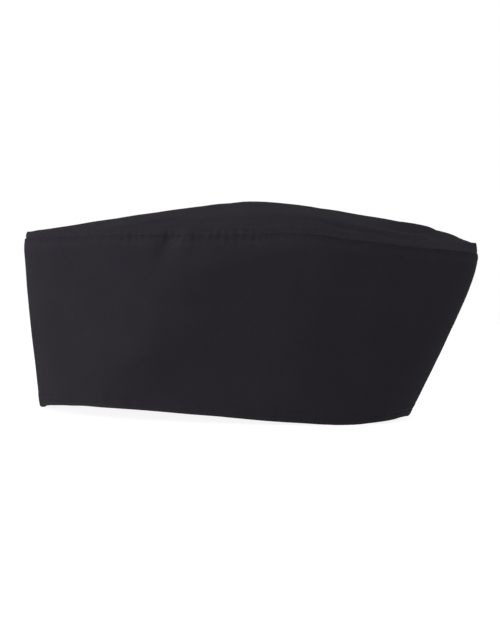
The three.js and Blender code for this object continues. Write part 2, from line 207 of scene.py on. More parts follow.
def rim_up(angle):
    return RIM_LIFT * read_table(RIM_LINE, 1, turn_of(angle))


def seam_lift(angle):
    """The rear half's edge shows a little above the seam's line in the solids"""
    return SEAM_LIFT * ease((turn_of(angle) - 0.55) / 0.12)


def seam_up(angle):
    return SEAM_HEIGHT - SEAM_SAG * read_table(SEAM_LINE, 1, turn_of(angle)) + seam_lift(angle)


def wall_height(angle):
    return seam_up(angle) - rim_up(angle)


def smooth_band(angle, down):
    """The outer face of the band without its puckers"""
    turn = turn_of(angle)
    top, low = seam_up(angle), rim_up(angle)
    out = SHOULDER_OUT * read_table(SHOULDER_LINE, 1, turn)
    height = SHOULDER_HEIGHT * read_table(SHOULDER_LINE, 2, turn)
    inset = out * read_table(SHOULDER_SECTION, 1, down * (top - low) / height)
    corner = (turn - read_table(CORNER_LINE, 1, down)) / CORNER_WIDTH
    corner = CORNER_PUSH * read_table(CORNER_LINE, 2, down) * np.exp(-corner**2)
    push = out * (1 - down) - inset + RIM_BOW * 4 * down * (1 - down) + corner
    (sx, sy), (rx, ry) = seam_plan(angle), rim_plan(angle)
    x, y, z = np.broadcast_arrays(mix(sx, rx, down), mix(sy, ry, down), mix(top, low, down))
    return np.stack([x, y, z], -1) + push[..., None] * out_of(angle)


def smooth_crown(angle, along):
    """The outer face of the crown without its folds: up its lip from -1 to 0, then in to the peak, 1"""
    inward = np.maximum(0, along)
    front = np.maximum(0, np.cos(angle)) ** 2
    back = np.maximum(0, -np.cos(angle)) ** 2
    rise = front * read_table(DOME_SECTION, 1, inward)
    rise = rise + back * read_table(DOME_SECTION, 3, inward)
    rise = rise + (1 - front - back) * read_table(DOME_SECTION, 2, inward)
    turn = turn_of(angle)
    lip = LIP_HEIGHT * read_table(LIP_LINE, 2, turn) - seam_lift(angle)
    lip_up = lip * read_table(LIP_SECTION, 2, along)
    up = mix(seam_up(angle) + lip_up, SEAM_HEIGHT + CROWN_RISE, rise)
    sx, sy = seam_plan(angle)
    x, y, z = np.broadcast_arrays(mix(sx, PEAK_BACK, inward), mix(sy, 0, inward), up)
    out = LIP_OUT * read_table(LIP_LINE, 1, turn) * read_table(LIP_SECTION, 1, along)
    return np.stack([x, y, z], -1) + out[..., None] * out_of(angle)


def outward(face, facing, angle, share, edge):
    """Out of a smooth face: level at the cloth's edges, square to the face away from them"""
    step = 0.004
    round_ = face(angle + step, share) - face(angle - step, share)
    across = face(angle, share + step) - face(angle, share - step)
    square = unit(np.cross(across, round_) * facing)
    edge = np.asarray(edge)[..., None]
    return unit(out_of(angle) * (1 - edge) + square * edge)


class Waves:
    """A soft random field: a sum of plane waves in space, always the same for one seed"""

    def __init__(self, seed, shortest, longest, count=28):
        draw = np.random.default_rng(seed)
        direction = unit(draw.normal(size=(count, 3)))
        length = shortest * (longest / shortest) ** draw.random(count)
        self.k = direction * (2 * math.pi / length)[:, None]
        self.phase = draw.random(count) * 2 * math.pi
        self.share = np.sqrt(length)
        self.share /= math.sqrt((self.share**2).sum() / 2)

    def at(self, points):
        total = np.zeros(points.shape[:-1])
        for k, phase, share in zip(self.k, self.phase, self.share):
            total += share * np.sin(points @ k + phase)
        return total


# Easing waves, by their seed and their shortest and longest length
BROAD = Waves(11, 45, 110)
SLACK = Waves(12, 12, 30)
ROPEY = Waves(13, 4, 9)
SNUG = Waves(14, 3, 7)


def puckers(angle, down):
    """How far the gathers under the seam push the band out"""
    turn = turn_of(angle)
    push = np.zeros(np.broadcast(angle, down).shape)
    for rows, side in ((NEAR_PUCKERS, np.sin(angle) > 0), (FAR_PUCKERS, np.sin(angle) <= 0)):
        for place, lean, width, depth, reach in rows:
            share = down / reach
            off = (turn - place - lean * share) / (width * (1 + 0.6 * share))
            push -= side * GATHER_SHARE * depth * np.exp(-(off**2)) * (1 - ease(share))
    return push


def fold_rise(angle, along):
    """How far the soft folds raise or lower the crown"""
    half_round = math.pi * (SEAM_LENGTH + SEAM_WIDTH) / 4
    to_peak = SEAM_WIDTH / 2
    turn, inward = turn_of(angle), np.maximum(0, along)
    rise = np.zeros(np.broadcast(angle, along).shape)
    for rows, side in ((NEAR_FOLDS, np.sin(angle) > 0), (FAR_FOLDS, np.sin(angle) <= 0)):
        for place, start, place_end, end, width, height in rows:
            ax, ay = (place_end - place) * half_round, (end - start) * to_peak
            x, y = (turn - place) * half_round, (inward - start) * to_peak
            share = (x * ax + y * ay) / (ax**2 + ay**2)
            off = (x * ay - y * ax) / math.hypot(ax, ay) / (FOLD_WIDTH * width)
            fade = ease(4 * share) * ease(4 * (1 - share))
            rise += side * FOLD_HEIGHT * height * fade * np.exp(-(off**2))
    return rise * ease(1 + along)


def roll(distance, radius):
    """How far a rounded edge has drawn in at a distance from it"""
    near = np.clip(radius - distance, 0, radius)
    return radius - np.sqrt(radius**2 - near**2)


def back_distance(angle):
    """The distance round the cap from the middle of the back, in millimetres"""
    return (1 - turn_of(angle)) * math.pi * (SEAM_LENGTH + SEAM_WIDTH) / 4


def shoulder_fill(angle, depth):
    """How far the flatter shoulder stands out beyond the rolled one"""
    turn = turn_of(angle)
    out = SHOULDER_OUT * read_table(SHOULDER_LINE, 1, turn)
    height = SHOULDER_HEIGHT * read_table(SHOULDER_LINE, 2, turn)
    return read_table(SEAM_EDGES, 1, turn) * out * read_table(SHOULDER_SECTION, 1, depth / height)


def seam_fill(angle):
    return read_table(SEAM_EDGES, 2, turn_of(angle))


def seam_roll(angle, distance):
    return roll(distance, SEAM_ROLL) * read_table(SEAM_EDGES, 3, turn_of(angle))


def edge_ridge(angle, down):
    """The soft crease between the flatter front of the band and its sides"""
    turn = turn_of(angle)
    share = read_table(CORNER_LINE, 2, down)
    off = turn - read_table(CORNER_LINE, 1, down) - 0.017
    broad = RIDGE_BROAD * np.exp(-(((off - 0.016) / 0.07) ** 2))
    fine = RIDGE_FINE * ease((down - 0.3) / 0.3) * np.exp(-((off / 0.019) ** 2))
    return np.where(np.sin(angle) > 0, 1.0, 0.5) * share * (broad + fine)


def band_face(angle, depth, inwards):
    """A point of the band's cloth at a depth below the seam, moved inwards from its outer face"""
    angle, depth = np.broadcast_arrays(angle, depth)
    wall = wall_height(angle)
    down = depth / wall
    low = wall - depth
    edge = ease(np.minimum(depth, low) / EDGE_BLEND)
    direction = outward(smooth_band, 1, angle, down, edge)
    point = smooth_band(angle, down)
    inner = np.clip(inwards / CLOTH, 0, 1)
    push = puckers(angle, down) * (1 - 0.35 * inner)
    push = push + seam_fill(angle) * (1 - ease(depth / 1.7)) + edge_ridge(angle, down)
    push = push + shoulder_fill(angle, depth)
    turn = turn_of(angle)
    bow = REAR_BOW * ease((turn - 0.8) / 0.12) - FRONT_BOW * (1 - ease((turn - 0.08) / 0.12))
    push = push + bow * 4 * down * (1 - down)
    free = ease(depth / 14) * ease((low - 5) / 16)
    push = push + BAND_BROAD * free * BROAD.at(point)
    push = push + BAND_SLACK * ease(low / 9) * SLACK.at(point)
    # Easing waves that the seam and the hem leave in the cloth
    push = push + BAND_SNUG * (1 - ease(depth / 6)) * SNUG.at(point * (1, 1, 0.35))
    push = push + BAND_ROPEY * np.exp(-((low - 3) / 3.2) ** 2) * ROPEY.at(point * (1, 1, 0.5))
    # The hem shows through as a faint step, with the stitches pressed in below it
    push = push + (1 - inner) * HEM_STEP * (1 - ease((low - HEM + 0.8) / 1.8))
    push = push - (1 - inner) * STITCH_GROOVE * np.exp(-((low - STITCH_UP) / 0.6) ** 2)
    # The back seam, with its pressed allowances showing through
    aside = back_distance(angle)
    push = push - (1 - inner) * BACK_GROOVE * np.exp(-((aside / 0.55) ** 2))
    push = push + (1 - inner) * BACK_STEP * (1 - ease((aside - BACK_ALLOWANCE / 2) / 1.6))
    push = push - (1 - inner) * (seam_roll(angle, depth) + roll(low, HEM_ROLL))
    point = point + push[..., None] * out_of(angle)
    return point - direction * np.asarray(inwards)[..., None]


def crown_face(angle, along, inwards):
    """A point of the crown's cloth, moved inwards from its outer face"""
    angle, along = np.broadcast_arrays(angle, along)
    from_edge = (along + 1) * LIP_HEIGHT
    direction = outward(smooth_crown, -1, angle, along, ease(2 * from_edge / EDGE_BLEND))
    point = smooth_crown(angle, along)
    inner = np.clip(inwards / CLOTH, 0, 1)
    lip = ease(1 + along)
    rise = fold_rise(angle, along)
    waves = CROWN_BROAD * BROAD.at(point) + CROWN_SLACK * SLACK.at(point)
    rise = rise + lip * waves * ease(5 * along + 0.4)
    turn = turn_of(angle)
    level = CROWN_ROPEY * lip * np.exp(-((along + 0.1) / 0.35) ** 2) * ROPEY.at(point)
    level = level - (1 - inner) * seam_roll(angle, from_edge)
    level = level + seam_fill(angle) * (1 - ease(from_edge / 1.5))
    level = level + shoulder_fill(angle, 0 * along) * (1 - ease(from_edge / 5.5))
    # The gathers cross the seam and run out on the lip, which has a small crease over them
    level = level + puckers(angle, 0 * along) * (1 - ease((along + 1) / 1.25)) * (1 - 0.35 * inner)
    over = ease((turn - 0.36) / 0.08) * (1 - ease((turn - 0.6) / 0.1))
    level = level + LIP_CREASE * over * np.exp(-((along + 0.06) / 0.1) ** 2)
    # Along the rear half the lip leans in
    lean = ease((turn - 0.5) / 0.14) * (1 - ease((turn - 0.84) / 0.08))
    level = level - LIP_LEAN * lean * lip * (1 - ease(along / 0.16))
    point = point + level[..., None] * out_of(angle)
    point[..., 2] += rise
    return point - direction * np.asarray(inwards)[..., None]


def column_angles(count, fine=7200):
    """Angles from the back round to the back, closer together where the cloth is gathered"""
    angle = math.pi + 2 * math.pi * (np.arange(fine) + 0.5) / fine
    turn, near = turn_of(angle), np.sin(angle) > 0
    density = 1 + np.where(near, 2.2, 1.2) * np.exp(-(((turn - 0.42) / 0.12) ** 4))
    reached = np.concatenate([[0], np.cumsum(density)])
    goal = reached[-1] * np.arange(count) / count
    return math.pi + 2 * math.pi * np.interp(goal, reached, np.arange(fine + 1)) / fine


COLUMNS = 800
ROUND = column_angles(COLUMNS)[None, :]


def depth_rows(angle, top, middle, bottom):
    """Depths below the seam: some from the seam, some from the rim, and shares in between"""
    wall = wall_height(angle)
    top, middle, bottom = (np.asarray(x, float)[:, None] for x in (top, middle, bottom))
    low = wall - bottom[0]
    between = top[-1] + middle * (low - top[-1])
    return np.concatenate([top + 0 * wall, between, wall - bottom])


def arc_lengths(points):
    """Lengths along closed rings of points, one value for each column and the closing one"""
    gaps = np.linalg.norm(np.roll(points, -1, axis=1) - points, axis=-1)
    return np.concatenate([np.zeros((len(points), 1)), np.cumsum(gaps, axis=1)], axis=1)


def grid_mesh(name, grid, cloth, wear_and_highlight, materials, inside_from=None, cap=None, closed=True, ends=False):
    """A cloth shell from rings of points, in millimetres. cloth holds each ring's places on the flat
    cloth with one column more; the mask after it makes points paler, for rubbing at edges and, on
    the crown's lip, also as a painted highlight."""
    rows, columns = grid.shape[:2]
    corners = grid.reshape(-1, 3)
    last = rows if closed else rows - 1
    across = columns if not ends else columns - 1
    r, c = np.meshgrid(np.arange(last), np.arange(across), indexing="ij")
    r, c = r.ravel(), c.ravel()
    below, beside = (r + 1) % rows, (c + 1) % columns
    here, under = r * columns, below * columns
    quads = np.stack([here + c, under + c, under + beside, here + beside], 1)
    low_row = np.where(r + 1 < rows, r + 1, r)
    places = np.stack([cloth[r, c], cloth[low_row, c], cloth[low_row, c + 1], cloth[r, c + 1]], 1)
    kind = (r >= inside_from).astype(np.int32) if inside_from is not None else np.zeros(len(r), np.int32)
    faces, face_places, kinds = [quads.ravel()], [places.reshape(-1, 2)], [kind]
    sizes = [np.full(len(quads), 4)]
    worn_and_highlight = wear_and_highlight.ravel()
    if ends:
        # Both ends of an open strip: the outside rings face the inside rings, which run back.
        half = rows // 2
        i = np.arange(half - 1)
        for column in (0, columns - 1):
            ring = np.stack([i, rows - 1 - i, rows - 2 - i, i + 1], 1)
            if column:
                ring = ring[:, ::-1]
            faces.append((ring * columns + column).ravel())
            face_places.append(cloth[ring, np.minimum(column, cloth.shape[1] - 1)].reshape(-1, 2))
            kinds.append(np.zeros(len(ring), np.int32))
            sizes.append(np.full(len(ring), 4))
    if cap is not None:
        count = len(corners)
        corners = np.concatenate([corners, cap])
        worn_and_highlight = np.concatenate([worn_and_highlight, np.zeros(2)])
        c = np.arange(columns)
        n = (c + 1) % columns
        end = (rows - 1) * columns
        faces.append(np.stack([np.full(columns, count), c, n], 1).ravel())
        faces.append(np.stack([np.full(columns, count + 1), end + n, end + c], 1).ravel())
        for row, tip in ((0, cap[0]), (rows - 1, cap[1])):
            middle = np.broadcast_to(tip[:2], (columns, 2))
            pair = (cloth[row, c], cloth[row, c + 1]) if row == 0 else (cloth[row, c + 1], cloth[row, c])
            face_places.append(np.stack([middle, *pair], 1).reshape(-1, 2))
        kinds += [np.zeros(columns, np.int32), np.ones(columns, np.int32)]
        sizes += [np.full(columns, 3), np.full(columns, 3)]
    mesh = bpy.data.meshes.new(name)
    loops, sizes, kinds = np.concatenate(faces), np.concatenate(sizes), np.concatenate(kinds)
    mesh.vertices.add(len(corners))
    mesh.vertices.foreach_set("co", (corners * MM).astype(np.float32).ravel())
    mesh.loops.add(len(loops))
    mesh.loops.foreach_set("vertex_index", loops.astype(np.int32))
    mesh.polygons.add(len(sizes))
    starts = np.concatenate([[0], np.cumsum(sizes)[:-1]])
    mesh.polygons.foreach_set("loop_start", starts.astype(np.int32))
    mesh.polygons.foreach_set("material_index", kinds.astype(np.int32))
    mesh.update(calc_edges=True)
    mesh.validate()
    mesh.shade_smooth()
    places = np.concatenate(face_places)
    flat = np.concatenate([places, np.zeros((len(places), 1))], 1) * MM
    on_cloth = mesh.attributes.new("cloth", "FLOAT_VECTOR", "CORNER")
    on_cloth.data.foreach_set("vector", flat.astype(np.float32).ravel())
    mesh.attributes.new("wear_and_highlight", "FLOAT", "POINT").data.foreach_set("value", worn_and_highlight.astype(np.float32))
    for material in materials:
        mesh.materials.append(material)
    piece = bpy.data.objects.new(name, mesh)
    bpy.context.scene.collection.objects.link(piece)
    return piece


def thread_mesh(name, paths, normals, radius, material, sides=6):
    """Short round threads, one for each path of points, with narrowed ends"""
    count, steps = paths.shape[:2]
    tangent = unit(np.gradient(paths, axis=1))
    side = unit(np.cross(tangent, normals))
    up = np.cross(side, tangent)
    around = 2 * math.pi * np.arange(sides) / sides
    narrow = np.ones(steps)
    narrow[[0, -1]] = 0.6
    reach = radius * narrow[None, :, None, None]
    rings = paths[:, :, None] + reach * (
        np.cos(around)[None, None, :, None] * side[:, :, None]
        + np.sin(around)[None, None, :, None] * up[:, :, None]
    )
    start = paths[:, 0] - tangent[:, 0] * radius * 0.6
    finish = paths[:, -1] + tangent[:, -1] * radius * 0.6
    tips = np.stack([start, finish], 1)
    corners = np.concatenate([rings.reshape(count, -1, 3), tips], 1)
    each = steps * sides + 2
    faces = []
    for k in range(steps - 1):
        for j in range(sides):
            n = (j + 1) % sides
            faces.append((k * sides + j, k * sides + n, (k + 1) * sides + n, (k + 1) * sides + j))
    ends = []
    for j in range(sides):
        n = (j + 1) % sides
        ends.append((steps * sides, n, j))
        ends.append((steps * sides + 1, (steps - 1) * sides + j, (steps - 1) * sides + n))
    base = (np.arange(count) * each)[:, None, None]
    quads = (np.array(faces)[None] + base).reshape(-1, 4)
    tris = (np.array(ends)[None] + base).reshape(-1, 3)
    mesh = bpy.data.meshes.new(name)
    mesh.from_pydata((corners.reshape(-1, 3) * MM).tolist(), [], quads.tolist() + tris.tolist())
    mesh.update()
    mesh.shade_smooth()
    mesh.materials.append(material)
    piece = bpy.data.objects.new(name, mesh)
    bpy.context.scene.collection.objects.link(piece)
    return piece


class Nodes:
    """Builds one material's nodes"""

    def __init__(self, name):
        self.material = bpy.data.materials.new(name)
        self.material.use_nodes = True
        self.tree = self.material.node_tree
        self.tree.nodes.clear()

    def add(self, kind, inputs=(), **settings):
        made = self.tree.nodes.new(kind)
        for key, value in settings.items():
            setattr(made, key, value)
        for key, value in dict(inputs).items():
            if isinstance(value, bpy.types.NodeSocket):
                self.tree.links.new(value, made.inputs[key])
            else:
                made.inputs[key].default_value = value
        return made

    def math(self, operation, a, b=0.0, c=0.0):
        return self.add("ShaderNodeMath", {0: a, 1: b, 2: c}, operation=operation).outputs[0]

    def ranged(self, value, low, high, to_low, to_high):
        spec = {"Value": value, "From Min": low, "From Max": high, "To Min": to_low, "To Max": to_high}
        return self.add("ShaderNodeMapRange", spec).outputs["Result"]

    def blend(self, factor, a, b):
        made = self.add("ShaderNodeMix", data_type="RGBA", clamp_factor=True)
        for socket, value in ((made.inputs[0], factor), (made.inputs[6], a), (made.inputs[7], b)):
            if isinstance(value, bpy.types.NodeSocket):
                self.tree.links.new(value, socket)
            else:
                socket.default_value = value
        return made.outputs[2]


RIB_PITCH, YARN_PITCH, TWIST_PITCH = 0.62, 0.46, 0.22
# One turn of a wave texture at scale 1, in metres
WAVE_LENGTH = math.pi / 10
SHEEN = 0.005


def colour(red, green, blue):
    return (red, green, blue, 1.0)


DARK = colour(0.0092, 0.0084, 0.0107)
LIGHT = colour(0.0152, 0.0138, 0.0175)
# A paler colour for places that rubbing has lightened, and for the painted highlight along the crown's
# lip.
WORN_AND_HIGHLIGHT = colour(0.0225, 0.0208, 0.0256)
LINT = colour(0.045, 0.043, 0.048)


def cloth_material(name, dark, light, worn_and_highlight, slope=62.0, rib=1.0):
    """Matte twill: diagonal ribs crossed by yarns, uneven dye and lint. A mask mixes in a paler colour:
    at edges for rubbing, and along the crown's lip as a painted highlight.
    """
    n = Nodes(name)
    place = n.add("ShaderNodeAttribute", attribute_name="cloth").outputs["Vector"]
    spot = n.add("ShaderNodeTexCoord").outputs["Object"]
    wear_and_highlight = n.add("ShaderNodeAttribute", attribute_name="wear_and_highlight").outputs["Fac"]
    turned = {"Vector": place, "Rotation": (0, 0, math.radians(slope))}
    ribs_place = n.add("ShaderNodeMapping", turned).outputs[0]
    ribs = n.add("ShaderNodeTexWave", {
        "Vector": ribs_place, "Scale": WAVE_LENGTH / (RIB_PITCH * MM), "Distortion": 0.9,
        "Detail": 2.0, "Detail Scale": 2.2,
    }, wave_type="BANDS", bands_direction="X").outputs["Fac"]
    yarns = n.add("ShaderNodeTexWave", {
        "Vector": place, "Scale": WAVE_LENGTH / (YARN_PITCH * MM), "Distortion": 0.7, "Detail": 1.0,
    }, wave_type="BANDS", bands_direction="Y").outputs["Fac"]
    weave = n.math("ADD", n.math("MULTIPLY", ribs, 0.75), n.math("MULTIPLY", yarns, 0.25))
    fuzz = n.add("ShaderNodeTexNoise", {"Vector": spot, "Scale": 3600.0, "Detail": 2.0}).outputs["Fac"]
    mottle = n.add("ShaderNodeTexNoise", {"Vector": spot, "Scale": 520.0, "Detail": 3.0}).outputs["Fac"]
    broad = n.add("ShaderNodeTexNoise", {"Vector": spot, "Scale": 38.0, "Detail": 3.0}).outputs["Fac"]
    lint = n.add("ShaderNodeTexNoise", {"Vector": spot, "Scale": 1500.0, "Detail": 1.0}).outputs["Fac"]
    tone = n.math("ADD", n.math("MULTIPLY", weave, 0.42), n.math("MULTIPLY", mottle, 0.22))
    tone = n.math("ADD", tone, n.math("MULTIPLY", broad, 0.3))
    tone = n.ranged(tone, 0.2, 0.75, 0.0, 1.0)
    base = n.blend(tone, dark, light)
    # Mixes in the paler colour by the mask: rubbing at edges, and a painted highlight along the crown's
    # lip.
    rubbed_and_highlight = n.math("MULTIPLY", wear_and_highlight, n.ranged(mottle, 0.35, 0.65, 0.35, 0.9))
    base = n.blend(rubbed_and_highlight, base, worn_and_highlight)
    base = n.blend(n.ranged(lint, 0.76, 0.81, 0.0, 0.3), base, LINT)
    rough = n.ranged(weave, 0.0, 1.0, 0.96, 0.84)
    bump = n.add("ShaderNodeBump", {
        "Height": mottle, "Strength": 0.35, "Distance": 0.18 * MM,
    }).outputs[0]
    height = n.math("ADD", weave, n.math("MULTIPLY", fuzz, 0.35))
    bump = n.add("ShaderNodeBump", {
        "Height": height, "Strength": 0.7 * rib, "Distance": 0.09 * MM, "Normal": bump,
    }).outputs[0]
    shader = n.add("ShaderNodeBsdfPrincipled", {
        "Base Color": base, "Roughness": rough, "Normal": bump, "Specular IOR Level": 0.01,
        "Sheen Weight": SHEEN, "Sheen Roughness": 0.55, "Sheen Tint": colour(0.72, 0.7, 0.78),
    }).outputs[0]
    n.add("ShaderNodeOutputMaterial", {"Surface": shader})
    return n.material


def thread_material(name, dark, light):
    """Spun polyester thread: a fine twist and a slight gloss"""
    n = Nodes(name)
    spot = n.add("ShaderNodeTexCoord").outputs["Object"]
    twist = n.add("ShaderNodeTexWave", {
        "Vector": spot, "Scale": WAVE_LENGTH / (TWIST_PITCH * MM), "Distortion": 1.5,
    }, wave_type="BANDS", bands_direction="DIAGONAL").outputs["Fac"]
    dye = n.add("ShaderNodeTexNoise", {"Vector": spot, "Scale": 300.0}).outputs["Fac"]
    tone = n.math("ADD", n.math("MULTIPLY", twist, 0.6), n.math("MULTIPLY", dye, 0.4))
    base = n.blend(tone, dark, light)
    bump = n.add("ShaderNodeBump", {"Height": twist, "Strength": 0.5, "Distance": 0.05 * MM}).outputs[0]
    shader = n.add("ShaderNodeBsdfPrincipled", {
        "Base Color": base, "Roughness": n.ranged(twist, 0, 1, 0.62, 0.5), "Normal": bump,
        "Specular IOR Level": 0.03, "Sheen Weight": SHEEN, "Sheen Roughness": 0.5,
    }).outputs[0]
    n.add("ShaderNodeOutputMaterial", {"Surface": shader})
    return n.material


band_twill = cloth_material("band_twill", DARK, LIGHT, WORN_AND_HIGHLIGHT)
crown_twill = cloth_material("crown_twill", DARK, LIGHT, WORN_AND_HIGHLIGHT, slope=58.0)
inside_twill = cloth_material(
    "inside_twill", colour(0.0102, 0.0094, 0.0117), colour(0.016, 0.0148, 0.0181), WORN_AND_HIGHLIGHT,
    slope=118.0, rib=0.6,
)
thread = thread_material("thread", colour(0.0098, 0.009, 0.0114), colour(0.0172, 0.0158, 0.0198))
overlock_thread = thread_material(
    "overlock_thread", colour(0.012, 0.0112, 0.0135), colour(0.024, 0.0224, 0.0262)
)


def steps(start, end, step):
    return np.linspace(start, end, max(2, int(round(abs(end - start) / step)) + 1))


def make_band():
    top = np.concatenate([[0, 0.12, 0.3, 0.55, 0.85], steps(1.2, 9, 0.45), steps(9.8, 20, 0.95)])
    bottom = np.concatenate([steps(12, 7.8, 0.9), steps(7.2, 1.2, 0.5), [0.85, 0.55, 0.3, 0.12, 0]])
    outside = depth_rows(ROUND, top, steps(0, 1, 1 / 22)[1:-1], bottom)
    sparse_top = np.concatenate([[0, 0.5], steps(1.4, 9, 0.9)])
    sparse_bottom = np.concatenate([steps(9, 1, 1.1), [0.4, 0]])
    inside = depth_rows(ROUND, sparse_top, steps(0, 1, 1 / 14)[1:-1], sparse_bottom)[::-1]
    rings = [band_face(ROUND, outside, 0.0), band_face(ROUND, inside, CLOTH)]
    grid = np.concatenate(rings)
    depths = np.concatenate([outside, inside])
    lengths = arc_lengths(grid)
    lengths -= lengths[:, -1:] / 2
    down = np.concatenate([depths, depths[:, :1]], 1)
    low = wall_height(ROUND) - depths
    # Paler at the hem's edge, in a strip just under the seam and along the raised pleats.
    wear_and_highlight = 0.55 * np.exp(-((low / 1.3) ** 2)) + 0.18 * np.exp(-(((depths - 3.2) / 2.2) ** 2))
    wear_and_highlight += 0.2 * ease(puckers(ROUND, depths / wall_height(ROUND)) / 0.6)
    return grid_mesh(
        "band_cloth", grid, np.stack([lengths, down], -1), wear_and_highlight,
        [band_twill, inside_twill], inside_from=len(outside),
    )


def make_crown():
    dome = [0.99, 0.965, 0.93, *steps(0.89, 0.49, 0.05), 0.445, 0.405]
    foot = [*steps(0.375, 0.19, 0.021), *steps(0.175, 0.045, 0.0125), 0.035, 0.026, 0.018, 0.011, 0.005]
    lip = [*-steps(0, 0.9, 0.065), -0.94, -0.97, -1]
    outside = np.array(dome + foot + lip)[:, None] + 0 * ROUND
    inner_lip = [-1, *-steps(0.9, 0, 0.15)]
    inner_dome = [0.02, 0.045, 0.075, 0.11, 0.15, 0.2, 0.25, 0.3, 0.36, 0.42]
    inner_dome += [*steps(0.5, 0.82, 0.08), 0.89, 0.95, 0.985]
    inside = np.array(inner_lip + inner_dome)[:, None] + 0 * ROUND
    grid = np.concatenate([crown_face(ROUND, outside, 0.0), crown_face(ROUND, inside, CLOTH)])
    along = np.concatenate([outside, inside])
    # The flat oval: the place in plan, spread by the way down the lip
    flat = grid[..., :2] + out_of(ROUND)[..., :2] * (np.maximum(0, -along) * LIP_HEIGHT)[..., None]
    flat = np.concatenate([flat, flat[:, :1]], 1)
    # Two paler bands round the lip, near its top edge and along its bulge: partly rubbing, and partly a
    # painted highlight where light catches the lip.
    wear_and_highlight = 0.4 * np.exp(-(((along + 0.12) / 0.2) ** 2)) + 0.3 * np.exp(-(((along + 0.6) / 0.25) ** 2))
    wear_and_highlight[len(outside):] = 0
    peak = smooth_crown(np.zeros(1), np.ones(1))
    tip = peak[0] + (0, 0, CROWN_BROAD * BROAD.at(peak)[0])
    cap = np.stack([tip, tip - (0, 0, CLOTH)])
    return grid_mesh(
        "crown_cloth", grid, flat, wear_and_highlight, [crown_twill, inside_twill],
        inside_from=len(outside), cap=cap, closed=False,
    )


def strip(name, top, low, layers, angles=ROUND, ends=False, groove=None):
    """A strip of cloth inside the band, from one depth to another, as functions of the angle"""
    near = CLOTH + CLEARANCE * 0.4
    share = np.concatenate([[0, 0.02, 0.05], steps(0.1, 0.9, layers), [0.95, 0.98, 1]])[:, None]
    depths = mix(top(angles), low(angles), share)
    height = low(angles) - top(angles)
    to_edge = np.minimum(depths - top(angles), low(angles) - depths)
    thick = CLOTH * 1.25
    outer = band_face(angles, depths, near + roll(to_edge, 0.45) * 0.5)
    swell = 0.07 * ROPEY.at(outer * 0.6) if groove is None else 0.06 * ROPEY.at(outer)
    depth_in = near + thick - roll(to_edge, 0.5) + swell
    if groove is not None:
        depth_in = depth_in - groove(angles, depths)
    inner = band_face(angles, depths, depth_in)
    grid = np.concatenate([outer, inner[::-1]])
    every = np.concatenate([depths, depths[::-1]])
    lengths = arc_lengths(grid)
    down = np.concatenate([every, every[:, :1]], 1)
    wear_and_highlight = np.concatenate([0 * to_edge, (0.6 * np.exp(-((to_edge / 0.8) ** 2)))[::-1]])
    return grid_mesh(name, grid, np.stack([lengths, down], -1), wear_and_highlight, [inside_twill], ends=ends)


def along_seam(depth_of, pitch, inwards, start=math.pi, fine=3600):
    """Angles at equal distances round the cap, at a depth that a function of the angle gives"""
    angle = start + 2 * math.pi * np.arange(fine + 1) / fine
    points = band_face(angle, depth_of(angle), inwards)
    reached = np.concatenate([[0], np.cumsum(np.linalg.norm(np.diff(points, axis=0), axis=1))])
    count = int(round(reached[-1] / pitch))
    goal = np.arange(count) * reached[-1] / count
    return np.interp(goal, reached, angle), reached[-1] / count


def running_stitches(name, depth_of, inwards, pitch=3.0, length=2.55, radius=0.15, facing=1):
    """A row of lockstitches lying on the cloth: each dips into it at both ends"""
    angle, gap = along_seam(depth_of, pitch, inwards)
    angle_step = np.diff(np.concatenate([angle, [angle[0] + 2 * math.pi]])) / gap
    share = np.linspace(-0.5, 0.5, 5)
    spots = angle[:, None] + share[None, :] * length * angle_step[:, None]
    sink = radius * (1.5 * (2 * np.abs(share)) ** 4)
    at = inwards + facing * sink[None, :]
    paths = band_face(spots, depth_of(spots), at + 0 * spots)
    normals = facing * out_of(spots)
    return thread_mesh(name, paths, normals, radius, thread)


def overlock(name, edge_of, reach, inwards):
    """Overlock loops: slanting threads from a cut edge up to the needle line, and that line"""
    angle, _ = along_seam(edge_of, OVERLOCK_PITCH, inwards)
    angle_step = np.diff(np.concatenate([angle, [angle[0] + 2 * math.pi]]))
    share = np.linspace(0, 1, 4)[None, :]
    parts = []
    for start, end, low, high in ((0, 0.45, 0.15, -reach), (0.5, 0.95, -reach, 0.15)):
        spots = angle[:, None] + mix(start, end, share) * angle_step[:, None]
        depths = edge_of(spots) + mix(low, high, share)
        arch = 0.12 * np.sin(math.pi * share)
        parts.append(band_face(spots, depths, inwards + 0.06 + arch + 0 * spots))
    spots = angle[:, None] + mix(0.05, 0.9, share) * angle_step[:, None]
    parts.append(band_face(spots, edge_of(spots) - reach, inwards + 0.1 + 0 * spots))
    paths = np.concatenate(parts)
    normals = np.concatenate([-out_of(spots)] * 3)
    return thread_mesh(name, paths, normals, OVERLOCK_RADIUS, overlock_thread)


# How far in the inner face of a strip lies from the band's outer face
INSIDE_FACE = CLOTH * 2.25 + CLEARANCE * 0.4

band = make_band()
crown = make_crown()
hem = strip(
    "hem_fold", lambda a: wall_height(a) - HEM, lambda a: wall_height(a) - 0.05, 0.1,
    groove=lambda a, d: 0.2 * np.exp(-(((wall_height(a) - d - STITCH_UP) / 0.5) ** 2)),
)
allowance = strip(
    "crown_allowance_cloth", lambda a: 0.35 + 0 * a, lambda a: ALLOWANCE_DROP + ALLOWANCE + 0 * a, 0.08
)
BACK_HALF = 2 * BACK_ALLOWANCE / (RIM_WIDTH + SEAM_WIDTH)
back_angles = math.pi + np.linspace(-1, 1, 61)[None, :] * BACK_HALF
back = strip(
    "back_allowance_cloth", lambda a: 1.6 + ALLOWANCE + 0 * a,
    lambda a: wall_height(a) - HEM - 0.2, 0.03, angles=back_angles, ends=True,
    groove=lambda a, d: 0.75 * np.exp(-((back_distance(a) / 0.5) ** 2)) + 0 * d,
)

